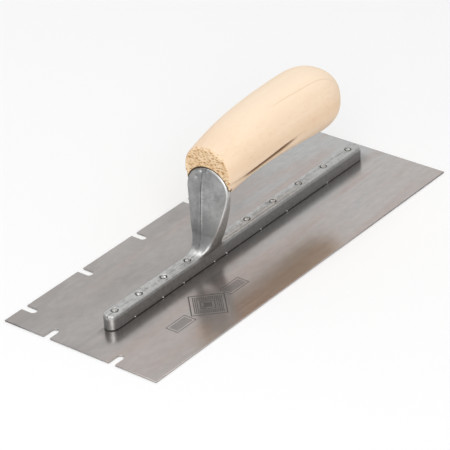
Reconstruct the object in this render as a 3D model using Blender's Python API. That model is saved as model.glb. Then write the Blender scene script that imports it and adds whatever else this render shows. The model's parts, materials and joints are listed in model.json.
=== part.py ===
"""Notched trowel: a thin rectangular steel blade with square-spaced U notches along one long edge
and one short edge, a cast aluminium mounting (a long bar with an upright shank) riveted along the
blade's middle, and a contoured wooden handle held to the shank by a long bolt from the rear.

Frame: metres, +Z up.  The origin is on the floor under the blade's centre, +Y runs along the
blade towards the rear end of the handle, and the notched short edge is at -Y.
"""

import bpy
import bmesh
import numpy as np
from math import cos, sin, pi, radians, atan2
from mathutils import Matrix, Vector

MM = 0.001
GAP = 0.3                        # clearance between touching pieces, in millimetres

# ---- driving dimensions, in millimetres ----
BLADE_LENGTH = 279.4
BLADE_WIDTH = 114.3
BLADE_THICK = 0.9

NOTCH_WIDTH = 4.7
NOTCH_DEPTH = 9.6
NOTCH_PITCH = 49.2
NOTCHES_LONG = 6                 # on the long edge at -X
NOTCHES_SHORT = 2                # on the short edge at -Y
NOTCH_ARC_STEPS = 8

BAR_WIDTH = 9.5
BAR_FRONT_Y = -115.3
BAR_REAR_Y = 127.0
BAR_TOP_Z = 10.5
BAR_FILLET = 2.8

RIVET_FRONT_Y = (-107.4, -86.0, -64.0, -42.0)
RIVET_REAR_Y = (14.6, 40.1, 65.7, 91.3, 117.0)
RIVET_SHANK_R = 1.6
RIVET_SEAT_R = 2.5               # countersink in the bar's top
RIVET_SEAT_DEPTH = 0.9
RIVET_DOME = 0.25
BLADE_SEAT_R = 2.9               # countersink in the blade's underside
RIVET_STEPS = 14

SHANK_ARCH_HALF = 15.5           # the arch is half an ellipse: this wide each way
SHANK_ARCH_RISE = 14.6           # and this tall
SHANK_ARCH_Z = 46.4
SHANK_ROOT_HALF = 4.5            # half-width inside the bar
SHANK_ROOT_Z = 6.0
SHANK_FLARE_Z = 8.0              # where it starts to widen
SHANK_REAR_Y = -16.2
SHANK_EDGE_R = (2.0, 0.9)        # corner radius at the bar and at the arch
SHANK_CROWN_POWER = 1.4         # almost two flats, with a low ridge between them
# The front face's y on its centre line and at its edges, at equal heights from 10 to 55 mm.
SHANK_FRONT_Z = (10.0, 55.0)
SHANK_CENTRE_Y = (-29.2, -28.0, -25.2, -23.1)
SHANK_EDGE_Y = (-29.2, -24.8, -20.8, -19.2)
SHANK_TOE = 6.6                  # forward sweep of the front face where it meets the bar
SHANK_TOE_FADE = 2.9
SHANK_HEEL = 4.0                 # rearward sweep of the rear face there
SHANK_HEEL_FADE = 1.8
SHANK_SLICES = 17
ARCH_SLICES = 9

HANDLE_FRONT_Y = -18.6
HANDLE_REAR_Y = 102.0
HANDLE_POWER = 2.3               # of the superellipse section
HANDLE_ROUND = 35.3              # length of the rounded rear end
HANDLE_ROUND_POWER = 2.7
HANDLE_DROOP = 3.7               # how far the rounded end turns down
# Five equal stations from the front to the rear of the handle.
HANDLE_CENTRE_Z = (57.0, 63.0, 64.5, 63.8, 62.5)
HANDLE_HALF_WIDTH = (16.9, 18.5, 19.2, 19.4, 19.2)
HANDLE_UP = (16.3, 18.0, 19.9, 21.5, 22.9)
HANDLE_DOWN = (17.6, 18.2, 19.6, 21.1, 22.2)
POCKET_GAP = 0.4                 # around the shank's arch, which is let into the front face
POCKET_BOTTOM_Z = 30.0
HANDLE_RINGS = 26
HANDLE_SIDES = 32

AXIS_FRONT = Vector((0.0, -17.0, 54.0))   # the bolt's line, from the shank to the rear end
AXIS_REAR = Vector((0.0, 102.0, 60.0))
TANG_R = 6.0
TANG_LENGTH = 30.0
BOLT_R = 3.0
BOLT_HEAD_R = 5.0
BOLT_HEAD_HEIGHT = 3.6
BOLT_SLOT = 1.2
WASHER_R = 6.2
WASHER_THICK = 1.4
COUNTERBORE_R = 7.0
COUNTERBORE_DEPTH = 14.0
BOLT_END = 12.0                  # where the bolt's tip ends, along the axis from AXIS_FRONT


# ---- scene helpers ----
def clear_scene():
    for old in list(bpy.data.objects):
        bpy.data.objects.remove(old, do_unlink=True)


def make_collection(name):
    group = bpy.data.collections.new(name)
    bpy.context.scene.collection.children.link(group)
    return group


def make_material(name, colour, roughness, metallic):
    material = bpy.data.materials.new(name)
    material.use_nodes = True
    shader = material.node_tree.nodes["Principled BSDF"]
    shader.inputs["Base Color"].default_value = (*colour, 1.0)
    shader.inputs["Roughness"].default_value = roughness
    shader.inputs["Metallic"].default_value = metallic
    return material


def add_object(name, mesh, group, material=None):
    piece = bpy.data.objects.new(name, mesh)
    group.objects.link(piece)
    if material:
        mesh.materials.append(material)
    return piece


def mesh_from(build, name):
    """Fill a new mesh with what build(bm) makes in millimetres, and scale it to metres."""
    mesh = bpy.data.meshes.new(name)
    bm = bmesh.new()
    build(bm)
    bmesh.ops.recalc_face_normals(bm, faces=bm.faces)
    bmesh.ops.scale(bm, vec=(MM, MM, MM), verts=bm.verts)
    bm.to_mesh(mesh)
    bm.free()
    return mesh


def boolean(piece, cutter, operation):
    step = piece.modifiers.new(operation.title() + " " + cutter.name, "BOOLEAN")
    step.operation = operation
    step.object = cutter
    step.solver = "EXACT"


def as_guide(piece):
    piece.hide_render = True
    piece.display_type = "WIRE"
    return piece


def smooth_rounds(piece, angle):
    piece.data.shade_smooth()
    piece.data.set_sharp_from_angle(angle=radians(angle))


# ---- shape helpers ----
def stadium(y0, y1, half_width, steps):
    """A closed outline with two straight sides along Y and a half circle at each end."""
    turn = np.linspace(0.0, pi, steps + 1)
    rear = [(half_width * cos(a), y1 - half_width + half_width * sin(a)) for a in turn]
    front = [(-half_width * cos(a), y0 + half_width - half_width * sin(a)) for a in turn]
    return rear + front


def prism(outline, z0, z1):
    """Extrude a closed outline upwards."""
    def build(bm):
        low = [bm.verts.new((x, y, z0)) for x, y in outline]
        face = bm.faces.new(low)
        top = bmesh.ops.extrude_face_region(bm, geom=[face])
        lifted = [v for v in top["geom"] if isinstance(v, bmesh.types.BMVert)]
        bmesh.ops.translate(bm, vec=(0, 0, z1 - z0), verts=lifted)
    return build


def loft(rings):
    """Join closed rings of equal point count, and cap both ends."""
    def build(bm):
        rows = [[bm.verts.new(p) for p in ring] for ring in rings]
        for a, b in zip(rows[:-1], rows[1:]):
            for i in range(len(a)):
                j = (i + 1) % len(a)
                bm.faces.new((a[i], a[j], b[j], b[i]))
        bm.faces.new(list(reversed(rows[0])))
        bm.faces.new(rows[-1])
    return build


def turned(profile, steps):
    """Turn a profile of (radius, height) points about Z; both ends are closed with a flat cap."""
    turn = np.arange(steps) * 2.0 * pi / steps
    return loft([[(r * cos(a), r * sin(a), z) for a in turn] for r, z in profile])


def axis_matrix():
    """Places a piece turned about Z, in metres, on the bolt's line, with +Z to the rear."""
    direction = AXIS_REAR - AXIS_FRONT
    pitch = atan2(direction.z, direction.y)
    return Matrix.Translation(AXIS_FRONT * MM) @ Matrix.Rotation(pitch - pi / 2.0, 4, "X")


def curve_through(values, t):
    """The smooth polynomial that passes through equally spaced station values."""
    stations = np.linspace(0.0, 1.0, len(values))
    return np.polyval(np.polyfit(stations, values, len(values) - 1), t)


# ---- blade ----
def blade_outline():
    """The blade's rectangle, anticlockwise, with a U notch wherever one is cut."""
    half_w, half_l, r = BLADE_WIDTH / 2.0, BLADE_LENGTH / 2.0, NOTCH_WIDTH / 2.0
    floor = NOTCH_DEPTH - r

    def notch(at):
        """(along, inwards) points of one notch, entering on the low side of its centre."""
        turn = np.linspace(pi, 0.0, NOTCH_ARC_STEPS + 1)
        bottom = [(at + r * cos(a), floor + r * sin(a)) for a in turn]
        return [(at - r, 0.0)] + bottom + [(at + r, 0.0)]

    def centres(count):
        return (np.arange(count) - (count - 1) / 2.0) * NOTCH_PITCH

    points = [(-half_w, -half_l)]
    for at in centres(NOTCHES_SHORT):
        points += [(along, -half_l + inwards) for along, inwards in notch(at)]
    points += [(half_w, -half_l), (half_w, half_l), (-half_w, half_l)]
    for at in centres(NOTCHES_LONG):
        points += [(-half_w + inwards, -along) for along, inwards in notch(at)]
    return points


def countersunk_cutters(name, seat_r, z_seat, z_end, flare, group):
    """One cutter for every rivet: a plain hole that flares to seat_r at z_seat."""
    hole_r = RIVET_SHANK_R + GAP
    side = 1.0 if z_seat > z_end else -1.0
    over = 1.0
    profile = [(hole_r, z_end - side * over), (hole_r, z_seat - side * flare), (seat_r, z_seat),
               (seat_r, z_seat + side * over)]

    def build(bm):
        for y in RIVET_FRONT_Y + RIVET_REAR_Y:
            before = set(bm.verts)
            turned(profile, RIVET_STEPS)(bm)
            new = [v for v in bm.verts if v not in before]
            bmesh.ops.translate(bm, vec=(0, y, 0), verts=new)
    return as_guide(add_object(name, mesh_from(build, name), group))


def make_blade(group, guides):
    steel = make_material("blade steel", (0.44, 0.43, 0.42), 0.34, 1.0)
    mesh = mesh_from(prism(blade_outline(), 0.0, BLADE_THICK), "blade")
    blade = add_object("blade", mesh, group, steel)
    holes = countersunk_cutters("blade holes", BLADE_SEAT_R, 0.0, BLADE_THICK, BLADE_THICK * 0.8,
                                guides)
    boolean(blade, holes, "DIFFERENCE")
    return blade


# ---- mounting ----
def make_bar(guides):
    """The bar: a stadium in plan, with its top edge rounded."""
    z0 = BLADE_THICK + GAP
    outline = stadium(BAR_FRONT_Y, BAR_REAR_Y, BAR_WIDTH / 2.0, 8)

    def build(bm):
        prism(outline, z0, BAR_TOP_Z)(bm)
        bmesh.ops.recalc_face_normals(bm, faces=bm.faces)
        rim = [e for e in bm.edges if all(abs(v.co.z - BAR_TOP_Z) < 1e-4 for v in e.verts)]
        bmesh.ops.bevel(bm, geom=rim, offset=BAR_FILLET, segments=4, profile=0.5, affect="EDGES")
    return as_guide(add_object("bar", mesh_from(build, "bar"), guides))


def shank_half_width(z):
    """Narrow where it leaves the bar, widening smoothly to the foot of the arch."""
    flare = np.interp(z, (SHANK_FLARE_Z, SHANK_ARCH_Z), (0.0, 1.0))
    return SHANK_ROOT_HALF + (SHANK_ARCH_HALF - SHANK_ROOT_HALF) * (1.6 * flare - 0.6 * flare ** 2)


def shank_section(z):
    """One level slice of the shank: a crowned front, rounded corners and a flat rear."""
    above = max(z - SHANK_ARCH_Z, 0.0) / SHANK_ARCH_RISE
    w = SHANK_ARCH_HALF * (1.0 - above ** 2) ** 0.5 if above else shank_half_width(z)
    across = SHANK_ARCH_HALF if above else w
    over_bar = max(z - BAR_TOP_Z, 0.0)
    toe = SHANK_TOE * np.exp(-over_bar / SHANK_TOE_FADE)
    heel = SHANK_HEEL * np.exp(-over_bar / SHANK_HEEL_FADE)
    t = float(np.interp(z, SHANK_FRONT_Z, (0.0, 1.0)))
    edge = curve_through(SHANK_EDGE_Y, t) - toe
    centre = min(curve_through(SHANK_CENTRE_Y, t) - toe, edge)
    rear = SHANK_REAR_Y + heel
    r = min(np.interp(z, (BAR_TOP_Z, SHANK_ARCH_Z), SHANK_EDGE_R), 0.4 * w)

    def front(x):
        out = ((x / across) ** 2 + above ** 2) ** 0.5
        return edge + (centre - edge) * (1.0 - min(out, 1.0) ** SHANK_CROWN_POWER)

    half = [(x, front(x)) for x in np.linspace(0.0, w - r, 7)]
    corner = front(w - r)
    half += [(w - r + r * sin(a), corner + r - r * cos(a)) for a in radians(30.0) * np.arange(1, 4)]
    half += [(w, rear - r)]
    half += [(w - r + r * cos(a), rear - r + r * sin(a)) for a in radians(45.0) * np.arange(1, 3)]
    half += [(0.0, rear)]
    mirrored = [(-x, y) for x, y in half[-2:0:-1]]
    return [(x, y, z) for x, y in half + mirrored]


def make_shank(guides):
    root = np.linspace(SHANK_ROOT_Z, BAR_TOP_Z, 4)
    climb = np.linspace(0.0, 1.0, SHANK_SLICES + 1)[1:] ** 1.6     # closer together near the bar
    rise = BAR_TOP_Z + (SHANK_ARCH_Z - BAR_TOP_Z) * climb
    turn = radians(85.0) * np.arange(1, ARCH_SLICES + 1) / ARCH_SLICES
    arch = SHANK_ARCH_Z + SHANK_ARCH_RISE * np.sin(turn)
    rings = [shank_section(z) for z in np.concatenate([root, rise, arch])]
    return as_guide(add_object("shank", mesh_from(loft(rings), "shank"), guides))


def on_axis(name, profile, steps, group, material=None):
    """A piece turned about the bolt's line; its heights run from the shank to the rear."""
    mesh = mesh_from(turned(profile, steps), name)
    mesh.transform(axis_matrix())
    return add_object(name, mesh, group, material)


def make_mounting(group, guides):
    cast = make_material("cast aluminium", (0.53, 0.53, 0.52), 0.45, 1.0)
    tang_profile = [(TANG_R, -1.5), (TANG_R, TANG_LENGTH - 2.0), (TANG_R - 2.0, TANG_LENGTH)]
    tang = as_guide(on_axis("tang", tang_profile, 20, guides))
    bore_profile = [(BOLT_R + GAP, BOLT_END - 2.0), (BOLT_R + GAP, TANG_LENGTH + 2.0)]
    bore = as_guide(on_axis("tang bore", bore_profile, 16, guides))
    seats = countersunk_cutters("bar holes", RIVET_SEAT_R, BAR_TOP_Z, 0.5, RIVET_SEAT_DEPTH, guides)

    mounting = add_object("mounting", make_bar(guides).data.copy(), group, cast)
    boolean(mounting, make_shank(guides), "UNION")
    boolean(mounting, tang, "UNION")
    boolean(mounting, bore, "DIFFERENCE")
    boolean(mounting, seats, "DIFFERENCE")
    smooth_rounds(mounting, 32.0)
    return mounting


# ---- rivets ----
def make_rivets(group):
    """Nine solid rivets: countersunk head flush under the blade, peened button in the bar."""
    steel = make_material("rivet steel", (0.55, 0.55, 0.54), 0.3, 1.0)
    seat = RIVET_SEAT_R - GAP * 1.2
    rim_z = BAR_TOP_Z - 0.05
    cone_z = BAR_TOP_Z - RIVET_SEAT_DEPTH
    profile = [(BLADE_SEAT_R - GAP * 1.3, 0.0), (RIVET_SHANK_R, BLADE_THICK * 0.8),
               (RIVET_SHANK_R, cone_z + GAP * 0.4), (seat, rim_z),
               (seat * 0.72, rim_z + RIVET_DOME * 0.6), (seat * 0.35, rim_z + RIVET_DOME)]
    for number, y in enumerate(RIVET_FRONT_Y + RIVET_REAR_Y, start=1):
        name = f"rivet_{number:02d}"
        rivet = add_object(name, mesh_from(turned(profile, RIVET_STEPS), name), group, steel)
        rivet.location = (0.0, y * MM, 0.0)
        smooth_rounds(rivet, 40.0)


# ---- handle ----
def handle_ring(t):
    """One slice of the handle at t from 0 (front) to 1 (rear)."""
    y = HANDLE_FRONT_Y + (HANDLE_REAR_Y - HANDLE_FRONT_Y) * t
    into_round = max(y - (HANDLE_REAR_Y - HANDLE_ROUND), 0.0) / HANDLE_ROUND
    shrink = max(1.0 - into_round ** HANDLE_ROUND_POWER, 0.0) ** 0.5
    centre = curve_through(HANDLE_CENTRE_Z, t) - HANDLE_DROOP * into_round ** 2
    half_w = curve_through(HANDLE_HALF_WIDTH, t) * shrink
    up = curve_through(HANDLE_UP, t) * shrink
    down = curve_through(HANDLE_DOWN, t) * shrink
    ring = []
    for a in np.arange(HANDLE_SIDES) * 2.0 * pi / HANDLE_SIDES:
        c, s = cos(a), sin(a)
        x = half_w * np.sign(c) * abs(c) ** (2.0 / HANDLE_POWER)
        z = (up if s > 0.0 else down) * np.sign(s) * abs(s) ** (2.0 / HANDLE_POWER)
        ring.append((x, y, centre + z))
    return ring


def make_handle(group, guides):
    wood = make_material("handle wood", (0.80, 0.60, 0.40), 0.6, 0.0)
    spacing = 1.0 - (1.0 - np.linspace(0.0, 1.0, HANDLE_RINGS + 1)) ** 1.9
    last = 0.9995
    rings = [handle_ring(min(t, last)) for t in spacing]
    handle = add_object("handle", mesh_from(loft(rings), "handle"), group, wood)

    recess_y = SHANK_REAR_Y + GAP
    half, rise = SHANK_ARCH_HALF + POCKET_GAP, SHANK_ARCH_RISE + POCKET_GAP

    def recess(bm):
        """The arch of the shank, a little larger, cut into the handle's front face."""
        turn = np.linspace(0.0, pi, 17)
        outline = [(half * cos(a), SHANK_ARCH_Z + rise * sin(a)) for a in turn]
        outline += [(-half, POCKET_BOTTOM_Z), (half, POCKET_BOTTOM_Z)]
        front = [bm.verts.new((x, HANDLE_FRONT_Y - POCKET_GAP, z)) for x, z in outline]
        face = bm.faces.new(front)
        pushed = bmesh.ops.extrude_face_region(bm, geom=[face])
        rear = [v for v in pushed["geom"] if isinstance(v, bmesh.types.BMVert)]
        bmesh.ops.translate(bm, vec=(0, recess_y - HANDLE_FRONT_Y + POCKET_GAP, 0), verts=rear)
    pocket = as_guide(add_object("shank pocket", mesh_from(recess, "shank pocket"), guides))

    length = (AXIS_REAR - AXIS_FRONT).length
    seat = length - COUNTERBORE_DEPTH
    tang_r = TANG_R + GAP
    bolt_r = BOLT_R + GAP
    profile = [(tang_r, -6.0), (tang_r, TANG_LENGTH + 1.0), (bolt_r, TANG_LENGTH + 2.0),
               (bolt_r, seat), (COUNTERBORE_R, seat + 0.01), (COUNTERBORE_R, length + 8.0)]
    bore = as_guide(on_axis("handle bore", profile, 20, guides))
    boolean(handle, pocket, "DIFFERENCE")
    boolean(handle, bore, "DIFFERENCE")
    smooth_rounds(handle, 40.0)
    return handle


# ---- handle bolt and washer ----
def make_fixings(group, guides):
    steel = make_material("bolt steel", (0.50, 0.49, 0.46), 0.35, 1.0)
    seat = (AXIS_REAR - AXIS_FRONT).length - COUNTERBORE_DEPTH
    washer_low = seat + GAP
    washer_high = washer_low + WASHER_THICK
    head_low = washer_high + GAP
    head_high = head_low + BOLT_HEAD_HEIGHT
    washer = on_axis("bolt_washer", [(WASHER_R, washer_low), (WASHER_R, washer_high)], 24, group, steel)
    hole_profile = [(BOLT_R + GAP, washer_low - 2.0), (BOLT_R + GAP, washer_high + 2.0)]
    hole = as_guide(on_axis("washer hole", hole_profile, 20, guides))
    boolean(washer, hole, "DIFFERENCE")

    profile = [(BOLT_R - 0.6, BOLT_END), (BOLT_R, BOLT_END + 0.8), (BOLT_R, head_low),
               (BOLT_HEAD_R, head_low + 0.01), (BOLT_HEAD_R, head_high - 0.8),
               (BOLT_HEAD_R - 0.9, head_high)]
    bolt = on_axis("handle_bolt", profile, 20, group, steel)

    def slot(bm):
        bmesh.ops.create_cube(bm, size=1.0)
        bmesh.ops.scale(bm, vec=(4.0 * BOLT_HEAD_R, BOLT_SLOT, 2.0 * 1.5), verts=bm.verts)
        bmesh.ops.translate(bm, vec=(0.0, 0.0, head_high), verts=bm.verts)
    cutter = mesh_from(slot, "bolt slot")
    cutter.transform(axis_matrix())
    boolean(bolt, as_guide(add_object("bolt slot", cutter, guides)), "DIFFERENCE")


def main():
    clear_scene()
    group = make_collection("notched trowel")
    guides = make_collection("cutters and guides")
    make_blade(group, guides)
    make_mounting(group, guides)
    make_rivets(group)
    make_handle(group, guides)
    make_fixings(group, guides)
    bpy.context.view_layer.update()


main()
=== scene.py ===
# %% [markdown]
# # A notched trowel
#
# The real tool is a thin sheet of spring steel with U notches, a cast aluminium mounting riveted
# along its middle, and a bare wooden handle.  The plain working model is loaded, and the surfaces
# a person would see are made for it with numpy, in millimetres, and scaled once at the end.

# %% Load the working model
import bmesh
import bpy
import numpy as np
from mathutils import Matrix, Vector
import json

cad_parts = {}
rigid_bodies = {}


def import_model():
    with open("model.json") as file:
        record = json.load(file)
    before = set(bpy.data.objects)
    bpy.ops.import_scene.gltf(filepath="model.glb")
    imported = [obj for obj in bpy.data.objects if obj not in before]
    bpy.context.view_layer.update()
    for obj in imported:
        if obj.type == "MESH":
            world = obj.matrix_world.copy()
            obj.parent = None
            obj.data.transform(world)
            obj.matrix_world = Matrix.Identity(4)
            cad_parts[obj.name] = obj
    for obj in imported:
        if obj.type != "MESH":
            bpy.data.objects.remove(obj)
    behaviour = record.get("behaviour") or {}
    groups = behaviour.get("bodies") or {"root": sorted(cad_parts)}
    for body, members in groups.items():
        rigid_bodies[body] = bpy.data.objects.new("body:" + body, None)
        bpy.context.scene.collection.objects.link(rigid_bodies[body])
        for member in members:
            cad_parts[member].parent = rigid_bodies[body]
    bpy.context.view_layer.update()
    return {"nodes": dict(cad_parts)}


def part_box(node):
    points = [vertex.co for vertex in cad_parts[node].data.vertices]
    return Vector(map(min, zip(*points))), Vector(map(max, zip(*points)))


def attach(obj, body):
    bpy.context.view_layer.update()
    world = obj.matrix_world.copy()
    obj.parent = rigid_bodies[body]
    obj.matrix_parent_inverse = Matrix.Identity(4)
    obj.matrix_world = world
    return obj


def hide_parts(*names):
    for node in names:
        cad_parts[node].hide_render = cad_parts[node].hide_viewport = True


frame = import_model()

MM = 0.001


def placed(name, data):
    """An object made from data and linked to the scene."""
    made = bpy.data.objects.new(name, data)
    bpy.context.collection.objects.link(made)
    return made


print("nodes:", sorted(frame["nodes"]))

# %% [markdown]
# ## Camera
#
# The tool is seen from its notched corner, about 30 degrees above the floor, with a long lens so
# that its edges stay nearly parallel.  An azimuth, an elevation, a distance and a roll about the
# line of sight place the camera.

# %% Camera from azimuth, elevation, distance and roll
CAMERA_AZIMUTH = np.radians(40.751)
CAMERA_ELEVATION = np.radians(30.434)
CAMERA_ROLL = np.radians(-4.033)
CAMERA_DISTANCE = 1.5293
CAMERA_LENS = 203.90
CAMERA_AIM = Vector((-0.00675, 0.00184, 0.01032))


def place_camera():
    """Back is the direction from the aim to the camera; right and up are turned about it."""
    flat = np.cos(CAMERA_ELEVATION)
    back = Vector((np.sin(CAMERA_AZIMUTH) * flat, -np.cos(CAMERA_AZIMUTH) * flat,
                   np.sin(CAMERA_ELEVATION)))
    right = Vector((0, 0, 1)).cross(back).normalized()
    up = back.cross(right)
    cosine, sine = np.cos(CAMERA_ROLL), np.sin(CAMERA_ROLL)
    right, up = cosine * right + sine * up, cosine * up - sine * right
    turn = Matrix((right, up, back)).transposed().to_4x4()
    data = bpy.data.cameras.new("camera")
    data.lens = CAMERA_LENS
    data.clip_end = 20.0
    camera = placed("camera", data)
    camera.matrix_world = Matrix.Translation(CAMERA_AIM + CAMERA_DISTANCE * back) @ turn
    bpy.context.scene.camera = camera
    return camera


print("camera at", [round(c, 3) for c in place_camera().matrix_world.translation])

# %% [markdown]
# ## From arrays to meshes
#
# Most pieces here are either a grid of points (a function of two parameters) or the zero surface
# of a distance field.  Both end as arrays of points and faces, which one helper makes an object.

# %% Mesh helpers
def make_piece(name, points, faces, smooth=True):
    """A mesh object from points in millimetres and an index array of quads or triangles."""
    mesh = bpy.data.meshes.new(name)
    sides = faces.shape[1]
    mesh.vertices.add(len(points))
    mesh.vertices.foreach_set("co", (np.asarray(points, float) * MM).ravel())
    mesh.loops.add(faces.size)
    mesh.loops.foreach_set("vertex_index", faces.ravel().astype(np.int32))
    mesh.polygons.add(len(faces))
    mesh.polygons.foreach_set("loop_start", np.arange(0, faces.size, sides, dtype=np.int32))
    mesh.update(calc_edges=True)
    mesh.validate()
    if smooth:
        mesh.shade_smooth()
    return placed(name, mesh)


def full_turn(steps):
    """Evenly spaced angles once round, the first not repeated at the end."""
    return np.linspace(0, 2 * np.pi, steps, endpoint=False)


def facing_out(points, faces):
    """The faces of a closed mesh, turned over if the volume they enclose comes out negative."""
    a, b, c = (points[faces[:, i]] for i in range(3))
    volume = np.einsum("ij,ij->", a, np.cross(b, c))
    if faces.shape[1] == 4:
        volume += np.einsum("ij,ij->", a, np.cross(c, points[faces[:, 3]]))
    return faces if volume > 0 else faces[:, ::-1]


def grid_faces(rows, columns):
    """Quads between neighbouring rows of a grid whose columns run round and join up."""
    i = np.arange(rows - 1)[:, None]
    j = np.arange(columns)[None, :]
    k = (j + 1) % columns
    corners = (i * columns + j, i * columns + k, (i + 1) * columns + k, (i + 1) * columns + j)
    return np.stack([c + 0 * i for c in corners], -1).reshape(-1, 4)


def closed_grid(name, rings):
    """Rings (rows, columns, 3) joined into a tube, each end closed by a fan of triangles."""
    rows, columns, _ = rings.shape
    points = np.concatenate([rings.reshape(-1, 3), rings[0].mean(0)[None], rings[-1].mean(0)[None]])
    quads = grid_faces(rows, columns)
    triangles = np.concatenate([quads[:, [0, 1, 2]], quads[:, [0, 2, 3]]])
    j = np.arange(columns)
    k = (j + 1) % columns
    first, last = rows * columns, rows * columns + 1
    start = np.stack([k, j, np.full(columns, first)], -1)
    base = (rows - 1) * columns
    end = np.stack([base + j, base + k, np.full(columns, last)], -1)
    return make_piece(name, points, facing_out(points, np.concatenate([triangles, start, end])))


def ripples(points, count, shortest, longest, seed, squeeze=(1.0, 1.0, 1.0)):
    """Smooth, repeatable unevenness between about -1 and 1.

    It is a sum of sine waves that cross at seeded random angles, with wavelengths from
    shortest to longest millimetres."""
    pick = np.random.default_rng(seed)
    total = np.zeros(points.shape[:-1])
    for _ in range(count):
        direction = pick.normal(size=3)
        direction *= np.array(squeeze) / np.linalg.norm(direction)
        wave = np.exp(pick.uniform(np.log(shortest), np.log(longest)))
        total += np.sin(points @ direction * (2 * np.pi / wave) + pick.uniform(0, 2 * np.pi))
    return total / np.sqrt(count)


def cut(piece, cutter):
    """Take the cutter's solid out of the piece, and remove the cutter."""
    step = piece.modifiers.new("cut", "BOOLEAN")
    step.operation = "DIFFERENCE"
    step.object = cutter
    depsgraph = bpy.context.evaluated_depsgraph_get()
    mesh = bpy.data.meshes.new_from_object(piece.evaluated_get(depsgraph))
    piece.modifiers.clear()
    piece.data = mesh
    bpy.data.objects.remove(cutter)


def merged(piece, gap=0.01):
    """Join points closer than gap millimetres, as a cut leaves where edges nearly meet."""
    bm = bmesh.new()
    bm.from_mesh(piece.data)
    bmesh.ops.remove_doubles(bm, verts=bm.verts, dist=gap * MM)
    bmesh.ops.dissolve_degenerate(bm, dist=gap * MM / 10, edges=bm.edges)
    bm.to_mesh(piece.data)
    bm.free()


def curve_through(values, t):
    """The smooth polynomial through equally spaced station values."""
    stations = np.linspace(0.0, 1.0, len(values))
    return np.polyval(np.polyfit(stations, values, len(values) - 1), t)


def box_mm(node):
    """A node's lowest and highest corners, in millimetres."""
    low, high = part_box(node)
    return np.array(low) / MM, np.array(high) / MM


BLADE_LOW, BLADE_HIGH = box_mm("blade")
BAR_LOW, BAR_HIGH = box_mm("mounting")
print("blade", np.round(BLADE_HIGH - BLADE_LOW, 2), "mounting", np.round(BAR_HIGH - BAR_LOW, 2))

# %% [markdown]
# ## Wrapping a distance field
#
# A casting has no sharp inside corners: every wall flows into the next with a fillet.  Boolean
# unions give hard creases, so the mounting is written as one distance field instead, where
# smooth minimum and rounded intersection make the fillets.  Surface nets then put one vertex in
# each grid cell that the surface passes through, and Newton steps settle it on the surface.

# %% Surface nets
CELL_CORNERS = np.array([(a, b, c) for a in (0, 1) for b in (0, 1) for c in (0, 1)])
CELL_EDGES = [(a, b) for a in range(8) for b in range(a + 1, 8)
              if np.abs(CELL_CORNERS[a] - CELL_CORNERS[b]).sum() == 1]


def wrap(field, low, high, step):
    """Points and quads of the surface where field(points) is zero; it is negative inside."""
    sizes = np.ceil((np.array(high) - low) / step).astype(int) + 1
    axes = [l + step * np.arange(n) for l, n in zip(low, sizes)]
    # the field is sampled slab by slab along Y, so the working arrays stay small
    slabs = [field(np.stack(np.meshgrid(axes[0], part, axes[2], indexing="ij"), -1))
             for part in np.array_split(axes[1], 8)]
    value = np.concatenate(slabs, axis=1)
    inside = value < 0.0
    count = sum(inside[a:sizes[0] - 1 + a, b:sizes[1] - 1 + b, c:sizes[2] - 1 + c].astype(np.int8)
                for a, b, c in CELL_CORNERS)
    cells = np.argwhere((count > 0) & (count < 8))
    number = np.full(sizes - 1, -1)
    number[tuple(cells.T)] = np.arange(len(cells))
    corner = np.stack([value[tuple((cells + offset).T)] for offset in CELL_CORNERS], 1)
    total, hits = np.zeros((len(cells), 3)), np.zeros(len(cells))
    for a, b in CELL_EDGES:
        crossed = (corner[:, a] < 0) != (corner[:, b] < 0)
        drop = np.where(crossed, corner[:, a] - corner[:, b], 1.0)
        along = np.where(crossed, corner[:, a] / drop, 0.0)
        spot = CELL_CORNERS[a] + along[:, None] * (CELL_CORNERS[b] - CELL_CORNERS[a])
        total += spot * crossed[:, None]
        hits += crossed
    points = np.array(low) + step * (cells + total / hits[:, None])

    # each grid edge that crosses the surface gives a quad of the four cells round it
    quads, unit = [], np.eye(3, dtype=int)
    for axis in range(3):
        one, two = [other for other in range(3) if other != axis]
        shift = unit[axis]
        here = inside[tuple(slice(0, n - s) for n, s in zip(sizes, shift))]
        there = inside[tuple(slice(s, n) for n, s in zip(sizes, shift))]
        edges = np.argwhere(here != there)
        edges = edges[(edges[:, one] > 0) & (edges[:, two] > 0)]
        ring = np.stack([number[tuple((edges - a * unit[one] - b * unit[two]).T)]
                         for a, b in ((1, 1), (0, 1), (0, 0), (1, 0))], -1)
        same_way = here[tuple(edges.T)] ^ (axis == 1)
        quads.append(np.where(same_way[:, None], ring, ring[:, ::-1]))
    return points, np.concatenate(quads)


def gradient(field, points, reach=0.02):
    """Central differences of the field at each point."""
    steps = reach * np.eye(3)
    return np.stack([(field(points + s) - field(points - s)) / (2 * reach) for s in steps], -1)


def settle(field, points, most, rounds=4):
    """Newton steps along the gradient, none longer than most millimetres."""
    for _ in range(rounds):
        slope = gradient(field, points)
        steep = np.maximum((slope ** 2).sum(-1, keepdims=True), 0.05)
        move = -field(points)[:, None] * slope / steep
        length = np.linalg.norm(move, axis=-1, keepdims=True)
        points = points + move * np.minimum(1.0, most / np.maximum(length, 1e-9))
    return points


def smooth_min(a, b, blend):
    """The smaller of two fields, with a fillet about as wide as blend where they are equal."""
    h = np.clip(0.5 + 0.5 * (b - a) / blend, 0.0, 1.0)
    return b + (a - b) * h - blend * h * (1.0 - h)


def round_both(a, b, radius):
    """Inside both fields, with an outside corner of the given radius where they meet."""
    return (np.hypot(np.maximum(a + radius, 0), np.maximum(b + radius, 0))
            + np.minimum(np.maximum(a + radius, b + radius), 0) - radius)


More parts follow.
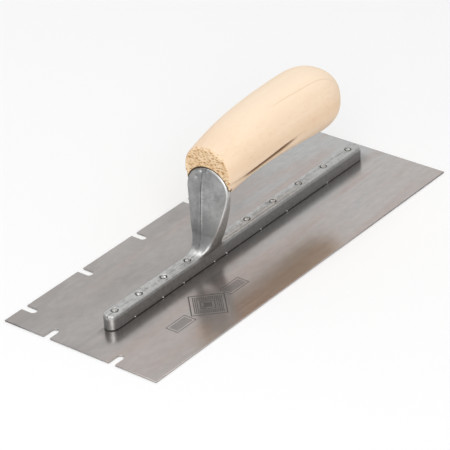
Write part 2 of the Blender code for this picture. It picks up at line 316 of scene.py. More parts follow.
# %% [markdown]
# ## The mounting
#
# The mounting is one casting: a bar with rounded ends, and a shank that sweeps up out of it and
# ends in an arch behind which a tang runs into the wood.  Its side view is a union of the bar
# and the shank with a wide fillet; its half-width grows with height; and the edge between the
# two is rounded all along, so the bar's top edge runs up into the shank's edge without a break.

# %% Shape of the mounting
RIVET_Y = np.array([-107.4, -86.0, -64.0, -42.0, 14.6, 40.1, 65.7, 91.3, 117.0])
BAR_HALF = 4.75
BAR_TOP = 10.5
EDGE_Z = (10.5, 12.5, 17.0, 24.0)                # the outside edge's radius at these heights
EDGE_R = (2.8, 2.3, 1.4, 1.0)
CROWN = 1.35                                     # the face is almost two flats with a ridge between
FRONT_FILLET, REAR_FILLET = 11.0, 5.0            # where the shank leaves the bar
ROOF = 0.15                                      # the bar's top falls this much to its edges
BAR_MIDDLE = (BAR_LOW[1] + BAR_HIGH[1]) / 2
BAR_REACH = (BAR_HIGH[1] - BAR_LOW[1]) / 2 - BAR_HALF            # to the centre of a round end
FOOT_Z = BAR_LOW[2] - 0.15
ARCH_HALF, ARCH_RISE, ARCH_Z = 15.5, 14.6, 46.4
SHANK_REAR = -16.2
SHANK_CENTRE = (-29.4, -28.1, -25.2, -23.1)      # front face at x = 0, from 10 to 55 mm up
SHANK_EDGE = (-29.4, -24.8, -20.8, -19.2)        # and at its edges
AXIS_FRONT = np.array([0.0, -17.0, 54.0])        # the line of the tang and the handle bolt
AXIS_REAR = np.array([0.0, 102.0, 60.0])
AXIS_LENGTH = np.linalg.norm(AXIS_REAR - AXIS_FRONT)
AXIS = (AXIS_REAR - AXIS_FRONT) / AXIS_LENGTH
SIDE, UP = np.array([1.0, 0.0, 0.0]), np.cross((1.0, 0.0, 0.0), AXIS)     # square to that line
TANG_R, TANG_LENGTH, BOLT_R = 6.0, 30.0, 3.0
SEAT_R, SEAT_DEPTH, HOLE_R = 2.35, 0.8, 1.75
TOE_Z, TOE_REACH, TOE_SWELL = 12.5, 3.0, 0.7     # the shank swells where it meets the bar in front
PIPS = ((-4.1, 58.9), (-6.7, 54.6))              # two ejector marks near the top of the arch
PIP_R, PIP_OUT = 0.8, 0.75
FLASH_Y = (-96.0, -71.0, -52.0, -23.5, -12.0, 21.0, 47.0, 88.0)
FLASH_R, FLASH_OUT = 0.42, 0.8                   # crumbs of flash at the bar's foot
SEAM_Z = (12.0, 35.0, 58.0)                      # on the shank the parting line wanders: its
SEAM_X = (0.9, -0.7, -2.2)                       # sideways place at these heights
SHANK_FRONT_Y = -20.0                            # what lies ahead of this is the shank's front


def from_parting_line(x, y, z):
    """Sideways distance to the parting line, which is straight along the bar's top."""
    return np.where(y < SHANK_FRONT_Y, x - np.interp(z, SEAM_Z, SEAM_X), x)


def parting_line(x, y, z):
    """Height of the parting line: a low ridge with a shallow groove on its left."""
    off = from_parting_line(x, y, z)
    line = 0.24 * np.exp(-((off - 0.5) / 0.4) ** 2) - 0.10 * np.exp(-((off + 0.4) / 0.45) ** 2)
    on_toe = (y < SHANK_FRONT_Y) * (z > BAR_TOP + 0.3)
    return line * (1.0 - 0.85 * np.exp(-((z - 14.0) / 5.0) ** 2) * on_toe)


def mounting_field(p):
    """Distance to the casting's surface, negative in the metal."""
    x, y, z = p[..., 0], p[..., 1], p[..., 2]
    side = np.abs(x)
    flare = np.clip((z - 9.0) / (ARCH_Z - 9.0), 0.0, 1.0)
    half = BAR_HALF + (ARCH_HALF - BAR_HALF) * (1.52 * flare - 0.52 * flare ** 2)
    ahead = np.clip((SHANK_FRONT_Y - y) / 5.0, 0.0, 1.0)
    half = half + TOE_SWELL * ahead * np.exp(-((z - TOE_Z) / TOE_REACH) ** 2)
    above = np.maximum(z - ARCH_Z, 0.0) / ARCH_RISE
    out = np.hypot(side / half, above)

    # side view: the bar's flat top, and the shank between its front and rear faces
    t = np.clip((z - 10.0) / 45.0, 0.0, 1.0)
    centre, edge = curve_through(SHANK_CENTRE, t), curve_through(SHANK_EDGE, t)
    from_seam = x - np.interp(z, SEAM_Z, SEAM_X) * np.clip(1.0 - (x / half) ** 2, 0.0, 1.0)
    crown = np.minimum(np.hypot(from_seam / half, above), 1.0) ** CROWN
    front = edge + (centre - edge) * (1.0 - crown) - y
    for pip_x, pip_z in PIPS:
        front -= PIP_OUT * np.exp(-((x - pip_x) ** 2 + (z - pip_z) ** 2) / PIP_R ** 2)
    shank = np.maximum(front, y - SHANK_REAR)
    shank = np.maximum(shank, 6.0 - z)
    roof = z - BAR_TOP + ROOF * (side / BAR_HALF) ** 1.5
    fillet = REAR_FILLET + (FRONT_FILLET - REAR_FILLET) * ahead
    profile = smooth_min(roof, shank, fillet) - parting_line(x, y, z)

    # plan: straight sides with round ends, widening up the shank, closed by the arch
    past_end = np.maximum(np.abs(y - BAR_MIDDLE) - BAR_REACH, 0.0)
    plan = np.where(above > 0, (out - 1.0) * ARCH_HALF, np.hypot(side, past_end) - half)
    rounding = np.interp(z, EDGE_Z, EDGE_R)
    for at in FLASH_Y:
        near = np.exp(-((y - at) ** 2 + (z - FOOT_Z - 0.5) ** 2) / FLASH_R ** 2)
        plan -= FLASH_OUT * (x > 0) * near
    body = round_both(profile, plan, rounding)

    # a tapped tang that runs into the handle
    along = (y - AXIS_FRONT[1]) * AXIS[1] + (z - AXIS_FRONT[2]) * AXIS[2]
    across = np.hypot(x, (z - AXIS_FRONT[2]) * AXIS[1] - (y - AXIS_FRONT[1]) * AXIS[2])
    tang = round_both(across - TANG_R, np.maximum(along - TANG_LENGTH, -1.5 - along), 1.2)
    bore = np.maximum(across - BOLT_R - 0.3, 10.0 - along)
    body = np.maximum(np.minimum(body, tang), -bore)

    # countersunk holes for the rivets
    nearest = RIVET_Y[np.abs(y[..., None] - RIVET_Y).argmin(-1)]
    off = np.hypot(x, y - nearest)
    widen = np.clip((z - (BAR_TOP - SEAT_DEPTH)) / SEAT_DEPTH, 0.0, 1.3)
    hole = np.maximum(off - HOLE_R - (SEAT_R - HOLE_R) * widen, z - BAR_TOP - 2.0)
    body = -smooth_min(-body, hole, 0.45)

    body = body + 0.05 * ripples(p, 7, 7.0, 26.0, 3)
    return np.maximum(body, FOOT_Z - z)


MOUNT_STEP = 0.45
margin = 3 * MOUNT_STEP
mount_low = np.array([-MOUNT_STEP * 37.5, BAR_LOW[1] - margin, FOOT_Z - margin])
mount_points, mount_quads = wrap(mounting_field, mount_low, BAR_HIGH + margin, MOUNT_STEP)
mount_points = settle(mounting_field, mount_points, 0.4 * MOUNT_STEP)
mounting = make_piece("cast_mounting", mount_points, facing_out(mount_points, mount_quads))
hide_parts("mounting")
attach(mounting, "root")
print("mounting:", len(mount_points), "points,", len(mount_quads), "quads, box",
      mount_points.min(0).round(2), mount_points.max(0).round(2))

# %% [markdown]
# ## The blade
#
# The blade is a flat sheet, so its outline says everything: a rectangle with a U wherever a notch
# is punched.  The outline is carried up over a tiny rounded edge, which is what catches the light
# on real sheet metal, and the two faces are filled around the rivets' holes.

# %% Outline of the blade
NOTCH_HALF, NOTCH_DEPTH, NOTCH_PITCH = 2.35, 9.6, 49.2
NOTCH_MOUTH = 0.35                               # small rounding at each notch's mouth


def notch(at):
    """(along, inwards) points of one notch: a rounded mouth, straight sides and a half circle."""
    mouth = np.linspace(0.0, np.pi / 2, 4)
    into = np.stack([at - NOTCH_HALF - NOTCH_MOUTH * (1 - np.sin(mouth)),
                     NOTCH_MOUTH * (1 - np.cos(mouth))], -1)
    turn = np.linspace(np.pi, 0.0, 21)
    bottom = np.stack([at + NOTCH_HALF * np.cos(turn),
                       NOTCH_DEPTH - NOTCH_HALF + NOTCH_HALF * np.sin(turn)], -1)
    out = into[::-1] * (-1, 1) + (2 * at, 0)
    return np.concatenate([into, bottom, out])


def blade_outline():
    """The blade's outline, anticlockwise from above."""
    half_x, half_y = BLADE_HIGH[0], BLADE_HIGH[1]
    shorts = (np.arange(2) - 0.5) * NOTCH_PITCH
    longs = (np.arange(6) - 2.5) * NOTCH_PITCH
    front = [notch(at) + (0, -half_y) for at in shorts]
    left = [(notch(at) * (-1, 1))[:, ::-1] + (-half_x, 0) for at in longs]
    corners = [np.array([c]) for c in ((half_x, -half_y), (half_x, half_y), (-half_x, half_y))]
    return np.concatenate([[(-half_x, -half_y)]] + front + corners + left)


def inward(outline):
    """At each point, the step that moves both its edges in by one unit (a mitre)."""
    ahead = np.roll(outline, -1, 0) - outline
    normal = np.stack([-ahead[:, 1], ahead[:, 0]], -1) / np.linalg.norm(ahead, axis=1)[:, None]
    before = np.roll(normal, 1, 0)
    return (normal + before) / (1 + (normal * before).sum(1))[:, None]


def level(outline, z):
    """An outline's (x, y) points at height z."""
    return np.column_stack([outline, np.full(len(outline), z)])


def make_blade():
    """Rings over the rim's rounded edge, then both faces filled round the holes."""
    outline = blade_outline()
    mitre = inward(outline)
    thick, edge = BLADE_HIGH[2], 0.16
    quarter = np.linspace(0.0, np.pi / 2, 4)
    inset = edge * (1 - np.sin(quarter))
    rise = edge * (1 - np.cos(quarter))
    rim = list(zip(inset, rise)) + list(zip(inset[::-1], thick - rise[::-1]))
    rings = np.stack([level(outline + i * mitre, z) for i, z in rim])
    turn = -full_turn(28)
    circle = np.stack([np.cos(turn), np.sin(turn)], -1)
    hole_profile = ((2.9, 0.0), (1.9, 0.72), (1.9, thick))       # countersunk from below
    holes = np.stack([[level(r * circle + (0, y), z) for r, z in hole_profile] for y in RIVET_Y])
    count, holes_per = rings.shape[1], len(hole_profile) * len(turn)
    points = np.concatenate([rings.reshape(-1, 3), holes.reshape(-1, 3)])
    faces = [grid_faces(len(rim), count)]
    for h in range(len(RIVET_Y)):
        start = rings.shape[0] * count + h * holes_per
        faces.append(grid_faces(len(hole_profile), len(turn)) + start)
    piece = make_piece("steel_blade", points, np.concatenate(faces))
    fill_faces(piece.data, (0.0, thick))
    return piece


def fill_faces(mesh, heights):
    """Fill each flat face from its open loops: the outline and the holes in it."""
    bm = bmesh.new()
    bm.from_mesh(mesh)
    for z in heights:
        rim = [e for e in bm.edges
               if e.is_boundary and all(abs(v.co.z / MM - z) < 1e-3 for v in e.verts)]
        bmesh.ops.triangle_fill(bm, edges=rim, use_beauty=True, normal=(0, 0, 1 if z > 0 else -1))
    bmesh.ops.recalc_face_normals(bm, faces=bm.faces)
    bm.to_mesh(mesh)
    bm.free()


blade = make_blade()
on_rim = [len(p.vertices) == 4 for p in blade.data.polygons]     # the flat faces are triangles
blade.data.polygons.foreach_set("use_smooth", on_rim)
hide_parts("blade")
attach(blade, "root")
print("blade:", len(blade.data.polygons), "faces")

# %% [markdown]
# ## The handle
#
# The handle is a long soft form: each slice is a superellipse whose centre, width and height
# change smoothly from the sawn front face to the rounded rear.  A valley runs along each side
# low down, where the turning stops and the narrower underside begins.

# %% Shape of the handle
HANDLE_FRONT, HANDLE_REAR = -18.6, 102.0
HANDLE_ROUND, HANDLE_DROOP = 35.3, 3.7           # length of the rounded rear, and how far it drops
HANDLE_POWER = 2.3                               # of the superellipse
HANDLE_CENTRE = (57.0, 63.0, 64.5, 63.8, 62.5)   # at five stations from front to rear
HANDLE_HALF = (16.9, 18.5, 19.2, 19.4, 19.2)
HANDLE_UP = (16.3, 18.0, 19.9, 21.5, 22.9)
HANDLE_DOWN = (16.2, 17.9, 19.6, 21.1, 22.2)
FRONT_EDGE = 0.7
VALLEY_DEEPEST, VALLEY_UPPER, VALLEY_LOWER = 1.9, 0.75, 4.2      # depth, and width up and down
AROUND, ALONG, FACE_RINGS = 300, 190, 50


def handle_slice(t, angle):
    """Points of the handle's surface at t along it (0 front, 1 rear) and an angle around it."""
    y = HANDLE_FRONT + (HANDLE_REAR - HANDLE_FRONT) * t
    late = np.maximum(y - (HANDLE_REAR - HANDLE_ROUND), 0.0) / HANDLE_ROUND
    shrink = np.sqrt(np.maximum(1.0 - late ** 2.7, 0.0))
    centre = curve_through(HANDLE_CENTRE, t) - HANDLE_DROOP * late ** 2
    c, s = np.cos(angle), np.sin(angle)
    power = 2.0 / HANDLE_POWER
    x = curve_through(HANDLE_HALF, t) * shrink * np.sign(c) * np.abs(c) ** power
    tall = np.where(s > 0, curve_through(HANDLE_UP, t), curve_through(HANDLE_DOWN, t))
    z = centre + tall * shrink * np.sign(s) * np.abs(s) ** power
    return np.stack([x, y + 0 * x, z], -1)


def valley(points):
    """How far the side sinks in: a steep upper wall, a long soft lower one, fading to the rear."""
    y, z = points[..., 1], points[..., 2]
    line = 54.1 + 4.4 / (1 + np.exp(-(y - 22.0) / 9.0))
    depth = np.interp(y, (HANDLE_FRONT, -5.0, 8.0, 30.0, 42.0, 54.0),
                      (0.7, 1.0, VALLEY_DEEPEST, VALLEY_DEEPEST, 1.1, 0.0))
    height = z - line
    width = np.where(height > 0, VALLEY_UPPER, VALLEY_LOWER)
    return depth * np.exp(-(height / width) ** 2)


def crowded_angles():
    """Angles round the handle, five times closer together where the two valleys run."""
    fine = np.linspace(0, 2 * np.pi, 3601)
    dense = 1.0 + sum(4.0 * np.exp(-((fine - np.radians(at)) / np.radians(13)) ** 2)
                      for at in (-15, 195, 345))
    total = np.concatenate([[0.0], np.cumsum((dense[1:] + dense[:-1]) / 2)])
    return np.interp(np.arange(AROUND) / AROUND * total[-1], total, fine)


def make_handle():
    """The side, ring by ring, from the sawn front face's middle to the rounded rear's pole."""
    angle = crowded_angles()[None, :]
    t = 1.0 - (1.0 - np.linspace(0.0, 1.0, ALONG)) ** 1.45
    t = np.minimum(t, 0.99995)[:, None]
    body = handle_slice(t, angle)
    body[..., 0] -= np.sign(body[..., 0]) * valley(body)
    middle = np.array([0.0, 0.0, HANDLE_CENTRE[0]])
    # the front edge is broken by hand: the first rings step in over a quarter circle
    start = body[0]
    outward = (start - middle) * (1, 0, 1)
    outward /= np.linalg.norm(outward, axis=1)[:, None]
    quarter = np.linspace(0.0, np.pi / 2, 5)
    inset, rise = FRONT_EDGE * (1 - np.sin(quarter)), FRONT_EDGE * (1 - np.cos(quarter))
    edge = np.stack([start - outward * i + (0, r, 0) for i, r in zip(inset, rise)])
    face_rim = edge[0]
    scale = np.linspace(0.02, 1.0, FACE_RINGS)[:, None, None]
    face = middle + (face_rim - middle) * scale * (1, 0, 1)
    face[..., 1] = HANDLE_FRONT
    torn = ripples(face, 40, 0.7, 3.5, 11, squeeze=(1.0, 0.0, 1.9)) * 0.10
    face[..., 1] += np.maximum(torn, -0.06) * np.minimum(1.0, (1 - scale[..., 0]) * 25)
    keep = body[:, 0, 1] > HANDLE_FRONT + FRONT_EDGE + 0.15
    rings = np.concatenate([face[:-1], edge, body[keep]])
    soft = 0.07 * ripples(rings, 14, 14.0, 40.0, 5, squeeze=(1.0, 0.5, 1.0))
    rings[FACE_RINGS:, :, 0] *= 1 + soft[FACE_RINGS:] / 18
    return closed_grid("wooden_handle", rings)


def round_the_line(profile, steps, start=0.0):
    """Rings of points for a profile of (radius, distance) turned about the bolt's line."""
    angle = start + full_turn(steps)
    r, d = np.array(profile).T[:, :, None, None]
    ring = np.cos(angle)[:, None] * SIDE + np.sin(angle)[:, None] * UP
    return AXIS_FRONT + d * AXIS + r * ring


def turned_cutter(name, profile, steps=48):
    """A solid turned about the bolt's line.

    It starts a little off the handle's middle plane, so no two corners fall on one another."""
    return closed_grid(name, round_the_line(profile, steps, 0.03))


def pocket_cutter():
    """The arch of the shank, grown by a small gap, pushed into the handle's front face."""
    turn = np.linspace(0, np.pi, 49)
    half, rise = ARCH_HALF + 0.4, ARCH_RISE + 0.4
    arch = np.stack([half * np.cos(turn), ARCH_Z + rise * np.sin(turn)], -1)
    foot = np.array([(-half, 30.0), (half, 30.0)])
    outline = np.concatenate([arch, foot])
    depth = np.array([HANDLE_FRONT - 2.0, SHANK_REAR + 0.3])
    rings = np.stack([level(outline, y)[:, [0, 2, 1]] for y in depth])
    return closed_grid("pocket cutter", rings[::-1])


handle = make_handle()
SEAT = AXIS_LENGTH - 14.0
bore_profile = [(TANG_R + 0.3, -6.0), (TANG_R + 0.3, TANG_LENGTH + 1),
                (BOLT_R + 0.3, TANG_LENGTH + 2), (BOLT_R + 0.3, SEAT), (7.0, SEAT + 0.01),
                (7.0, AXIS_LENGTH - 1.2), (7.8, AXIS_LENGTH + 1.5), (7.8, AXIS_LENGTH + 8)]
for cutter in (pocket_cutter(), turned_cutter("bore cutter", bore_profile)):
    cut(handle, cutter)
merged(handle)
handle.data.shade_smooth()
handle.data.set_sharp_from_angle(angle=np.radians(38))
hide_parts("handle")
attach(handle, "root")
print("handle:", len(handle.data.polygons), "faces, box",
      np.round(np.array(handle.bound_box)[[0, 6]] / MM, 2))

# %% [markdown]
# ## Rivets, bolt and washer
#
# The rivets' ends are hammered over by a machine, which leaves an uneven crowned button in each
# countersink.  The bolt and washer sit deep in the handle's rear end.

# %% Rivets
def turned(name, profile, centre, steps, unevenness, seed):
    """A profile of (radius, height) points turned about a vertical line, with an uneven top."""
    angle = full_turn(steps)[None, :]
    r, z = np.array(profile).T[:, :, None]
    rings = np.stack([r * np.cos(angle), r * np.sin(angle), z + 0 * angle], -1)
    pick = np.random.default_rng(seed)
    lean = pick.uniform(-0.06, 0.06, 2)
    top = np.clip((rings[..., 2] - BAR_TOP + 0.4) / 0.4, 0.0, 1.0)
    rings[..., 2] += unevenness * top * ripples(rings, 6, 1.2, 4.0, seed)
    rings[..., 2] += top * (rings[..., :2] @ lean) - top * pick.uniform(0.0, 0.12)
    grow = 1 + top * (0.08 * np.sin(angle * 2 + seed) + pick.uniform(-0.10, 0.06))
    rings[..., :2] *= grow[..., None]
    return closed_grid(name, rings + centre)


def rivet_profile():
    """Countersunk head under the blade, shank, and a crowned button above the bar's seat."""
    button, crown = 1.6, 0.22
    turn = np.linspace(0.0, np.pi / 2, 10)[1:]
    dome = [(button * np.cos(a) ** 0.8, BAR_TOP - 0.12 + crown * np.sin(a)) for a in turn[:-1]]
    foot = [(0.4, 0.0), (1.5, 0.0), (2.46, 0.0), (2.5, 0.04), (1.6, 0.72)]
    neck = [(1.6, 5.0), (1.6, BAR_TOP - 1.0), (1.58, BAR_TOP - 0.6),
            (button, BAR_TOP - 0.35), (button, BAR_TOP - 0.12)]
    return foot + neck + dome


for number, y in enumerate(RIVET_Y, start=1):
    rivet = turned(f"peened_rivet_{number:02d}", rivet_profile(), (0.0, y, 0.0), 36, 0.12, number)
    rivet.data.set_sharp_from_angle(angle=np.radians(50))
    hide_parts(f"rivet_{number:02d}")
    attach(rivet, "root")
print("rivets:", len(RIVET_Y), "each", len(rivet.data.polygons), "faces")

# %% Bolt and washer
WASHER_LOW, WASHER_THICK = SEAT + 0.3, 1.4
HEAD_LOW = WASHER_LOW + WASHER_THICK + 0.3
HEAD_HIGH = HEAD_LOW + 3.6


def make_bolt():
    """A slotted cheese head on a plain shank, turned about the bolt's line."""
    crown = [(5.0 * np.cos(a), HEAD_HIGH - 0.9 + 0.9 * np.sin(a))
             for a in np.linspace(0, 1.35, 7)]
    profile = [(0.5, 12.0), (2.4, 12.0), (BOLT_R, 12.6), (BOLT_R, HEAD_LOW), (3.2, HEAD_LOW + 0.01),
               (4.9, HEAD_LOW + 0.02), (5.0, HEAD_LOW + 0.15)] + crown
    bolt = turned_cutter("long_bolt", profile, 56)
    corners = AXIS_FRONT + np.array([a * SIDE + b * UP for a, b in
                                     ((-7.0, -0.6), (7.0, -0.6), (7.0, 0.6), (-7.0, 0.6))])
    slot = np.stack([corners + d * AXIS for d in (HEAD_HIGH - 1.5, HEAD_HIGH + 2.5)])
    cut(bolt, closed_grid("slot cutter", slot))
    return bolt


bolt = make_bolt()
bolt.data.shade_smooth()
bolt.data.set_sharp_from_angle(angle=np.radians(35))


def make_washer():
    """A ring: the profile goes once round a rounded rectangle, so the grid closes both ways."""
    corner = np.linspace(0, np.pi / 2, 4)
    r0, r1, z0, z1, r = 3.3, 6.2, WASHER_LOW, WASHER_LOW + WASHER_THICK, 0.25
    arcs = [(r1 - r, z0 + r, -np.pi / 2), (r1 - r, z1 - r, 0.0),
            (r0 + r, z1 - r, np.pi / 2), (r0 + r, z0 + r, np.pi)]
    profile = [(cx + r * np.cos(a0 + a), cz + r * np.sin(a0 + a))
               for cx, cz, a0 in arcs for a in corner]
    points = round_the_line(profile, 56).reshape(-1, 3)
    faces = grid_faces(len(profile) + 1, 56) % len(points)       # the last row is the first
    return make_piece("bolt_seat_washer", points, facing_out(points, faces))


washer = make_washer()
for piece, node in ((bolt, "handle_bolt"), (washer, "bolt_washer")):
    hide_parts(node)
    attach(piece, "root")
print("bolt head from", round(HEAD_LOW, 1), "to", round(HEAD_HIGH, 1), "mm along its line")

# %% [markdown]
# ## Shader arithmetic
#
# A procedural finish is mostly arithmetic on masks.  Wrapping each socket in a small class lets
# it be written as ordinary Python.

# %% Socket and finish classes
class Value:
    """A shader output that Python's operators work on."""

    def __init__(self, finish, socket):
        self.finish, self.socket = finish, socket

    def math(self, operation, a, b=0.0):
        return self.finish.node("Math", {"operation": operation}, {0: a, 1: b})

    def __add__(self, other): return self.math("ADD", self, other)
    def __radd__(self, other): return self.math("ADD", other, self)
    def __sub__(self, other): return self.math("SUBTRACT", self, other)
    def __rsub__(self, other): return self.math("SUBTRACT", other, self)
    def __mul__(self, other): return self.math("MULTIPLY", self, other)
    def __rmul__(self, other): return self.math("MULTIPLY", other, self)
    def __truediv__(self, other): return self.math("DIVIDE", self, other)
    def __pow__(self, other): return self.math("POWER", self, other)
    def __gt__(self, other): return self.math("GREATER_THAN", self, other)
    def __lt__(self, other): return self.math("LESS_THAN", self, other)
    def sin(self): return self.math("SINE", self)
    def abs(self): return self.math("ABSOLUTE", self)
    def max(self, other): return self.math("MAXIMUM", self, other)


class Finish:
    """One material: its node tree, and the few kinds of node that the finishes share."""

    def __init__(self, name, **sockets):
        self.material = bpy.data.materials.new(name)
        self.material.use_nodes = True
        self.tree = self.material.node_tree
        self.shader = self.tree.nodes["Principled BSDF"]
        self.set(sockets)
        self.place = self.node("TexCoord", out="Object")

    def set(self, sockets):
        for key, value in sockets.items():
            self.feed(self.shader.inputs[key.replace("_", " ")], value)

    def feed(self, socket, value):
        if isinstance(value, Value):
            self.tree.links.new(value.socket, socket)
        else:
            socket.default_value = value

    def node(self, kind, settings=None, sockets=None, out=0):
        made = self.tree.nodes.new("ShaderNode" + kind)
        for key, value in (settings or {}).items():
            setattr(made, key, value)
        for key, value in (sockets or {}).items():
            self.feed(made.inputs[key], value)
        return Value(self, made.outputs[out])

    def stretched(self, x, y, z, turn=(0.0, 0.0, 0.0)):
        """Object coordinates times a factor on each axis; the coordinates are in metres."""
        return self.node("Mapping", None,
                         {"Vector": self.place, "Scale": (x, y, z), "Rotation": turn})

    def noise(self, where, scale, detail=3.0, rough=0.5):
        return self.node("TexNoise", None, {"Vector": where, "Scale": scale, "Detail": detail,
                                            "Roughness": rough})

    def ramp(self, value, low, high, to_low=0.0, to_high=1.0):
        """A smooth step from to_low to to_high as value goes from low to high."""
        return self.node("MapRange", {"interpolation_type": "SMOOTHSTEP"},
                         {"Value": value, "From Min": low, "From Max": high,
                          "To Min": to_low, "To Max": to_high})

    def mix(self, amount, a, b):
        """The colour a, and amount of the way to the colour b."""
        def colour(c):
            return c if isinstance(c, Value) else (*c, 1.0)
        return self.node("Mix", {"data_type": "RGBA"},
                         {0: amount, 6: colour(a), 7: colour(b)}, out=2)

    def axes(self, vector=None):
        """The x, y and z of a vector, or of the place in metres, each as a value."""
        split = self.node("SeparateXYZ", None, {0: vector or self.place})
        return [Value(self, output) for output in split.socket.node.outputs]

    def facing(self):
        """The x, y and z of the surface's normal."""
        return self.axes(self.node("NewGeometry", out="Normal"))

    def layer(self, name):
        """A number painted on the mesh's points."""
        return self.node("Attribute", {"attribute_name": name}, out="Fac")

    def bump(self, height, distance, strength=1.0):
        return self.node("Bump", None,
                         {"Height": height, "Distance": distance, "Strength": strength})

    def finish(self, piece, **sockets):
        """Set what is left of the shader, and give the piece this material alone."""
        self.set(sockets)
        piece.data.materials.clear()
        piece.data.materials.append(self.material)


print("shader classes ready")

# %% [markdown]
# ## Finish of the blade
#
# Ground spring steel: fine scratches along the blade, broad streaks where the grinding belt
# turned the surface warmer or cooler, a few dark pits, and etched decoration.  The streaks are
# noise squeezed hard across the blade, so it runs for centimetres along it.

# %% Blade steel
def blade_finish():
    f = Finish("brushed blade steel", Metallic=1.0)
    x, y, z = f.axes()
    fine = f.noise(f.stretched(1.0, 0.02, 1.0), 2600.0, 2.0, 0.6)
    lines = f.noise(f.stretched(1.0, 0.05, 1.0), 520.0, 4.0, 0.6)
    broad = f.noise(f.stretched(1.0, 0.13, 1.0), 60.0, 3.0, 0.55)
    mottle = f.noise(f.stretched(1.0, 0.6, 1.0), 260.0, 4.0, 0.6)
    cloud = f.noise(f.stretched(1.0, 0.5, 1.0), 24.0, 4.0, 0.6)
    # painted reflection: the blade is painted lighter towards its far end and lighter and warmer on
    # the right; the grinding streaks are real, and are painted strongest where this lies
    far = f.ramp(x * 0.8 + y, -0.05, 0.13)
    right = f.ramp(x, 0.004, 0.03)
    tint = f.mix(f.ramp(cloud, 0.34, 0.66), (0.450, 0.430, 0.417), (0.375, 0.355, 0.343))
    tint = f.mix(far * 0.85, tint, (0.545, 0.552, 0.548))
    tint = f.mix(right * 0.6, tint, (0.53, 0.475, 0.45))
    warm = f.ramp(broad, 0.47, 0.66, 0.0, 0.85) * (far * 0.5 + right * 0.15 + 0.4)
    tint = f.mix(warm, tint, (0.50, 0.415, 0.38))
    tint = f.mix(f.ramp(broad, 0.30, 0.44, 0.6, 0.0) * far, tint, (0.44, 0.455, 0.46))
    shade = f.ramp(lines, 0.3, 0.7, 0.975, 1.02) * f.ramp(mottle, 0.3, 0.7, 0.96, 1.03)
    tint = f.node("VectorMath", {"operation": "SCALE"}, {0: tint, "Scale": shade})
    pits = f.node("TexVoronoi", {"feature": "F1"}, {"Vector": f.place, "Scale": 95.0})
    chosen = f.noise(f.place, 31.0, 0.0) > 0.66
    pit = f.ramp(pits, 0.05, 0.085, 1.0, 0.0) * chosen
    tint = f.mix(pit * 0.75, tint, (0.07, 0.055, 0.045))
    # painted shade: a soft dark band on the blade beside the bar
    past_end = ((y - BAR_MIDDLE * MM).abs() - BAR_REACH * MM).max(0.0)
    from_bar = (x * x + past_end * past_end) ** 0.5
    corner = f.ramp(from_bar, 0.0046, 0.0125, 0.45, 0.0) * (x > -0.004)
    tint = f.mix(corner, tint, (0.12, 0.11, 0.105))
    etched = etched_mask(x, y)
    tint = f.mix(etched * 0.85, tint, (0.12, 0.115, 0.11))
    edge = (z < 0.00072) * (z > 0.0001)
    tint = f.mix(edge * 0.5, tint, (0.30, 0.28, 0.27))
    rough = f.ramp(lines, 0.3, 0.7, 0.17, 0.22) + f.ramp(cloud, 0.4, 0.7, 0.0, 0.05)
    rough = rough + pit * 0.3 + etched * 0.2
    height = fine * 0.4 + lines * 0.3 + mottle * 0.25 - pit * 2.0 - etched * 0.4
    normal = f.bump(height, 0.00002, 0.4)
    f.finish(blade, Base_Color=tint, Roughness=rough, Normal=normal)
    return f


def etched_mask(x, y):
    """A hatched diamond between two framed, hatched bars: 1 where the steel is etched."""
    across, along = (x - 0.031) * 1000.0, (y + 0.062) * 1000.0
    hatch = ((across + along) * 4.2).sin() > -0.2
    far = across.abs() + along.abs()
    ring = ((far - 14.8).abs() < 0.55).max((far - 6.0).abs() < 0.5)
    diamond = ring.max((far < 12.6) * (far > 7.6) * hatch).max(far < 3.4)
    bar_far = (along.abs() - 24.5).abs()
    bar = (bar_far < 8.5) * (across.abs() < 4.6)
    frame_line = (bar_far > 7.9).max(across.abs() > 4.1)
    back_hatch = ((across - along) * 4.2).sin() > -0.1
    inner = (bar_far < 6.9) * (across.abs() < 3.1)
    return diamond.max(bar * frame_line.max(back_hatch * inner))


blade_steel = blade_finish()
print("blade finish:", len(blade_steel.tree.nodes), "nodes")

# %% [markdown]
# ## Finish of the casting
#
# Tumbled aluminium is light grey and satin, with a fine orange-peel grain and darker mottling where
# the mould left a skin.  Painted shade lies in the countersinks round the rivets, at the foot,
# along the bar's flanks, on the lower shank, on the left of the shank's front and beside the
# parting line;
# painted highlights lie on the shank's flanks, the arch's rim, the pips, the parting line's raised
# edge and the foot's right edge.

# %% Cast aluminium
def arch_distance(x, z):
    """How far a place lies from the arch's middle: 1 on the arch's edge, more outside it."""
    rise = (z - ARCH_Z * MM).max(0.0) / (ARCH_RISE * MM)
    return (x * x / (ARCH_HALF * MM) ** 2 + rise * rise) ** 0.5


